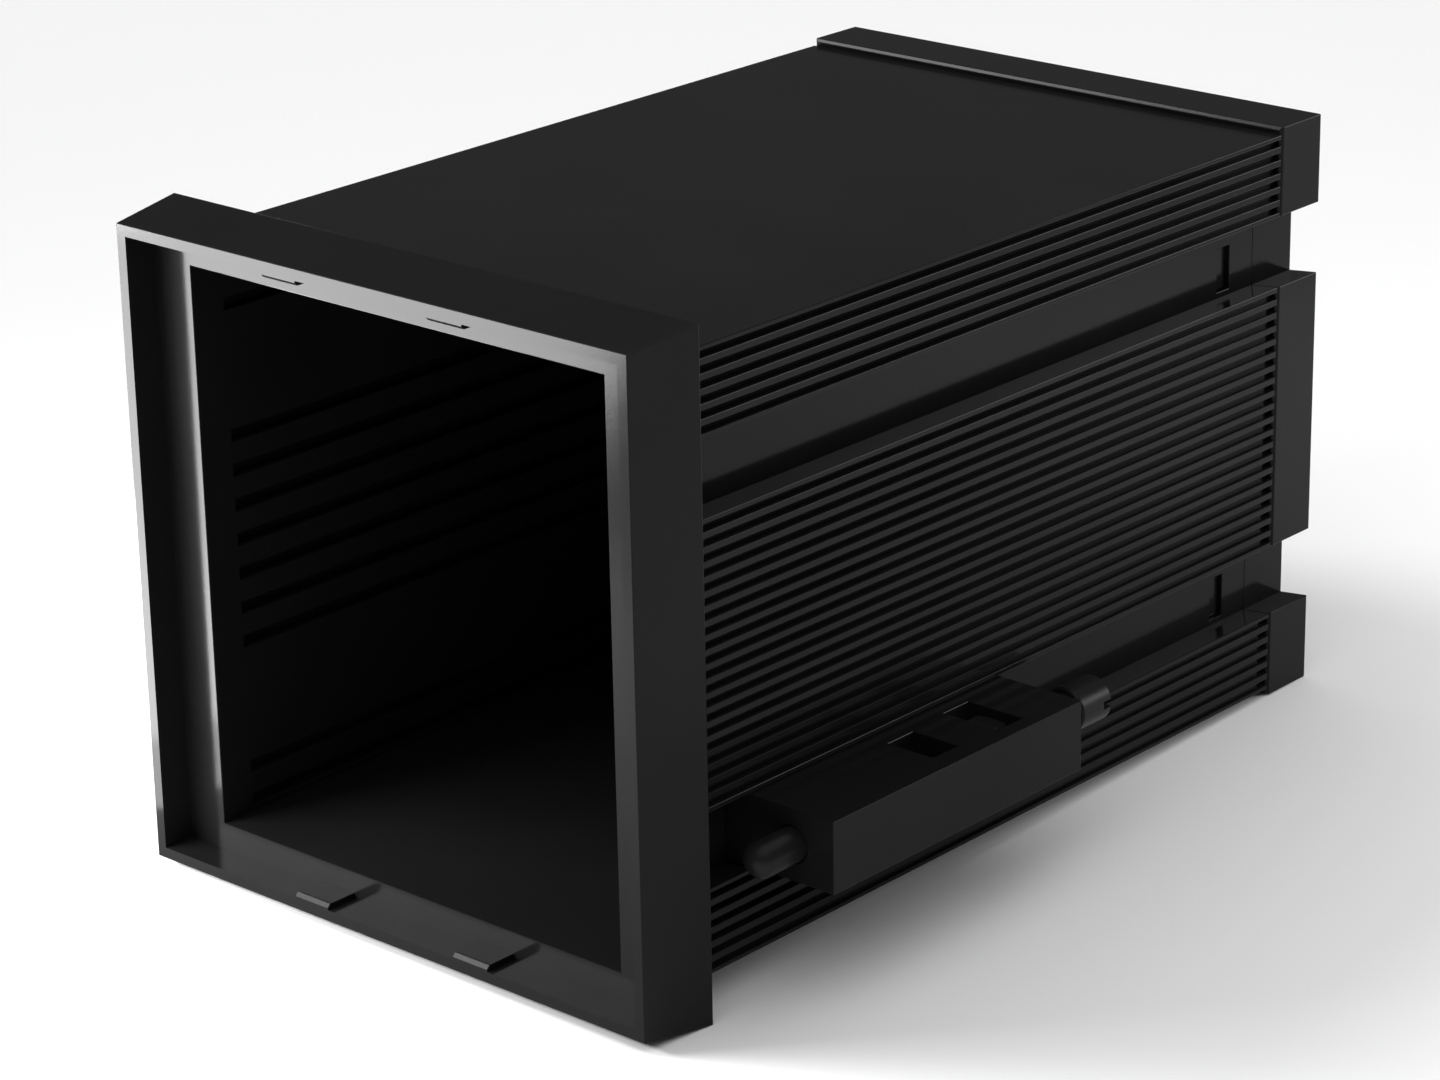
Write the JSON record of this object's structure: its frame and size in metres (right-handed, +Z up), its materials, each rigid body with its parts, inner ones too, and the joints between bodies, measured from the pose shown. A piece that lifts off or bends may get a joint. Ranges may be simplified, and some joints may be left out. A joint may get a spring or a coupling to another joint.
{
  "type": "panel mount enclosure",
  "caption": "Black moulded panel mount enclosure: square bezel with a front recess, ribbed body with card guides, snap-fit rear cover and sliding screw clamps that grip the panel.",
  "frame": {"origin": "The centre of the bezel's back face, in the middle of the panel cut-out.", "axes": "X to the right seen from the front, Y from the front to the back, Z up."},
  "size_m": [0.1168, 0.1528, 0.096],
  "materials": {
    "plastic": "black, lightly glossy moulding",
    "screw": "blackened steel"
  },
  "bodies": {
    "enclosure": {"housing": "plastic", "rear_cover": "plastic"},
    "right_clamp": {"clamp_block_right": "plastic", "clamp_nut_right": "screw"},
    "right_screw": {"clamp_screw_right": "screw"},
    "left_clamp": {"clamp_block_left": "plastic", "clamp_nut_left": "screw"},
    "left_screw": {"clamp_screw_left": "screw"}
  },
  "joints": [
    {"name": "right_clamp_slide", "type": "slide", "parent": "enclosure", "child": "right_clamp", "axis": [0, 1, 0], "range_m": [-0.001, 0.075]},
    {"name": "right_screw_advance", "type": "slide", "parent": "right_clamp", "child": "right_screw", "axis": [0, 1, 0], "range_m": [-0.003, 0.008]},
    {"name": "left_clamp_slide", "type": "slide", "parent": "enclosure", "child": "left_clamp", "axis": [0, 1, 0], "range_m": [-0.001, 0.075]},
    {"name": "left_screw_advance", "type": "slide", "parent": "left_clamp", "child": "left_screw", "axis": [0, 1, 0], "range_m": [-0.003, 0.008]}
  ]
}
